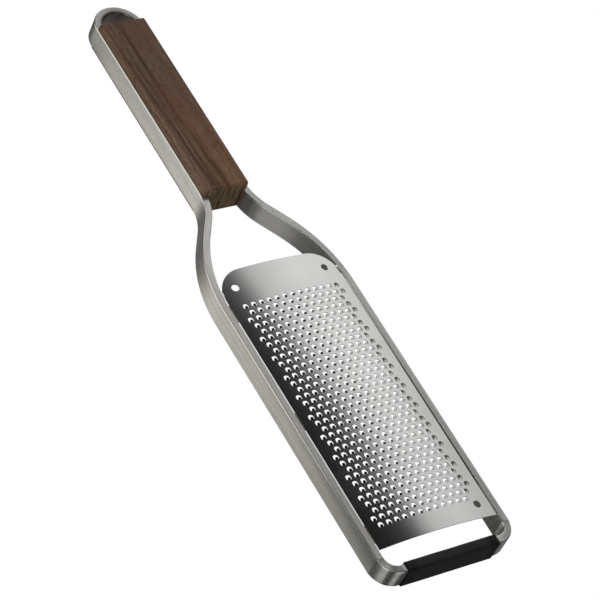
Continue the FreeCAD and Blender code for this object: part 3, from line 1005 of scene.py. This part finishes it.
def studio_world(scene):
    """A soft surround: pale panels with dark gaps between them, two lamps, and a dark ceiling."""
    world = bpy.data.worlds.new("studio")
    world.use_nodes = True
    scene.world = world
    recipe = Recipe(world.node_tree)
    direction = recipe.add("ShaderNodeTexCoord").outputs["Generated"]
    x, y, z = recipe.split(direction)
    tilt = recipe.maths("MULTIPLY_ADD", recipe.maths("MINIMUM", x, -0.3), 0.11, 0.044)
    wall = recipe.ramp(recipe.maths("ADD", z, tilt), *WALL)
    turn = recipe.between(recipe.maths("ARCTAN2", y, x), -math.pi, math.pi)
    panels, side_panel = (recipe.ramp(turn, *[(degrees / 360, level) for degrees, level in stops])
                          for stops in (PANELS, SIDE_PANEL))
    behind = recipe.between(x, -0.412, -0.37, 1.0, 0.0)
    side_panel = recipe.mix(1.0, recipe.mix(1.0, side_panel, SIDE_TINT, "MULTIPLY"), behind, "MULTIPLY")
    panels = recipe.mix(1.0, panels, side_panel, "ADD")
    light = recipe.mix(1.0, wall, panels, "MULTIPLY")
    facing = recipe.add("ShaderNodeVectorMath", {0: direction, 1: FAR_LAMP}, operation="DOT_PRODUCT")
    for lamp in (recipe.ramp(z, (0.968, 0.0), (0.984, 1.2)),
                 recipe.ramp(facing.outputs["Value"], (0.983, 0.0), (0.996, 0.55))):
        light = recipe.mix(1.0, light, lamp, "ADD")
    background = recipe.add("ShaderNodeBackground", {"Color": light, "Strength": 1.0})
    recipe.add("ShaderNodeOutputWorld", {"Surface": background.outputs[0]})


# Depth of the floor under the tool
FLOOR_GAP = 0.2 * MM
# The floor mostly glows within the first radius round the loop's middle, and mostly shines outside the second
GLOW = 0.22
GLOW_INSET = 8 * MM
GLOW_RADII = (10 * MM, 25 * MM)
SHINE_SHARES = (0.1, 0.85)


def pale_floor(radius):
    """A plain floor, white to the eye and a soft reflector to the tool."""
    floor = start(bpy.ops.mesh.primitive_circle_add, "pale_floor", vertices=64, radius=radius,
                  fill_type="NGON", location=(0, 0, -FLOOR_GAP))
    leave()
    material, recipe = new_recipe("pale_floor")
    path = recipe.add("ShaderNodeLightPath")
    glow = recipe.add("ShaderNodeEmission", {"Color": (1, 1, 1, 1), "Strength": GLOW})
    gloss = recipe.add("ShaderNodeBsdfGlossy", {"Color": (0.92, 0.92, 0.92, 1), "Roughness": 0.08})
    to_loop = recipe.add("ShaderNodeVectorMath", {0: object_place(recipe), 1: (BAR_LOW.x + GLOW_INSET, 0, 0)},
                         operation="DISTANCE")
    sheen = recipe.between(to_loop.outputs["Value"], *GLOW_RADII, *SHINE_SHARES)
    bounce = recipe.add("ShaderNodeMixShader", {0: sheen, 1: glow.outputs[0], 2: gloss.outputs[0]})
    white = recipe.add("ShaderNodeEmission", {"Color": (1, 1, 1, 1), "Strength": 1.0})
    choice = recipe.add("ShaderNodeMixShader", {0: path.outputs["Is Camera Ray"], 1: bounce.outputs[0],
                                                2: white.outputs[0]})
    recipe.add("ShaderNodeOutputMaterial", {"Surface": choice.outputs[0]})
    floor.data.materials.append(material)


# The soft boxes' directions from the tool, their distance and their width
KEY_SIDE = (-0.25, -0.72, 0.65)
FILL_SIDE = (0.75, 0.1, 0.65)
LIGHT_DISTANCE = 1200 * MM
LIGHT_SIZE = 800 * MM


def soft_box(name, direction, watts):
    """A square soft box that faces the tool from that direction."""
    bpy.ops.object.select_all(action="DESELECT")
    bpy.ops.object.light_add(type="AREA")
    lamp = bpy.context.object
    lamp.name = lamp.data.name = name
    lamp.data.size = LIGHT_SIZE
    lamp.data.energy = watts
    lamp.visible_glossy = False
    towards = Vector(direction).normalized()
    lamp.location = towards * LIGHT_DISTANCE
    lamp.rotation_euler = towards.to_track_quat("Z", "Y").to_euler()


# The camera's axes, and the width of its sensor in millimetres
CAMERA_RIGHT = Vector((0.477664, 0.815866, 0.325884)).normalized()
CAMERA_FORWARD = Vector((-0.446856, 0.544989, -0.709441)).normalized()
SENSOR_WIDTH = 36


class ZESTER_OT_stage(bpy.types.Operator):
    """Sets up the floor, the soft light and the camera"""
    bl_idname = "zester.stage"
    bl_label = "Stage"

    def execute(self, context):
        scene = context.scene
        stage = scene.zester.stage
        for item in [item for item in scene.objects if item.type in {"LIGHT", "CAMERA"}]:
            bpy.data.objects.remove(item)
        scene.view_settings.view_transform = "Standard"
        studio_world(scene)
        pale_floor(stage.floor)
        soft_box("key_light", KEY_SIDE, stage.key)
        soft_box("fill_light", FILL_SIDE, stage.fill)
        bpy.ops.object.camera_add()
        camera = context.object
        camera.name = "photo_camera"
        camera.data.lens = stage.lens
        camera.data.sensor_width = SENSOR_WIDTH
        up = CAMERA_RIGHT.cross(CAMERA_FORWARD).normalized()
        axes = Matrix((CAMERA_RIGHT, up, -CAMERA_FORWARD)).transposed()
        camera.matrix_world = Matrix.Translation(stage.eye) @ axes.to_4x4()
        scene.camera = camera
        return {"FINISHED"}


class ZESTER_PT_pieces(bpy.types.Panel):
    """Lists the pieces and the sizes they are made to"""
    bl_idname = "ZESTER_PT_pieces"
    bl_label = "Rasp Zester"
    bl_space_type = "VIEW_3D"
    bl_region_type = "UI"
    bl_category = "Zester"

    def draw(self, context):
        for operator in PIECES:
            self.layout.operator(operator.bl_idname)
        for part in ZesterSettings.__annotations__:
            settings = getattr(context.scene.zester, part)
            box = self.layout.box()
            for name in settings.__annotations__:
                box.prop(settings, name)


PIECES = (ZESTER_OT_bar, ZESTER_OT_blade, ZESTER_OT_handle, ZESTER_OT_sleeve, ZESTER_OT_welds,
          ZESTER_OT_stage)
GROUPS = (ZesterBar, ZesterBlade, ZesterHandle, ZesterSleeve, ZesterFinish, ZesterStage, ZesterSettings)


def register():
    for cls in (*GROUPS, *PIECES, ZESTER_PT_pieces):
        bpy.utils.register_class(cls)
    bpy.types.Scene.zester = group("Zester", ZesterSettings)


def unregister():
    del bpy.types.Scene.zester
    for cls in reversed((*GROUPS, *PIECES, ZESTER_PT_pieces)):
        bpy.utils.unregister_class(cls)


def main():
    register()
    bpy.ops.object.select_all(action="DESELECT")
    bpy.ops.zester.bar()
    bpy.ops.zester.blade()
    bpy.ops.zester.handle()
    bpy.ops.zester.sleeve()
    bpy.ops.zester.welds()
    bpy.ops.zester.stage()


if __name__ == "__main__":
    main()
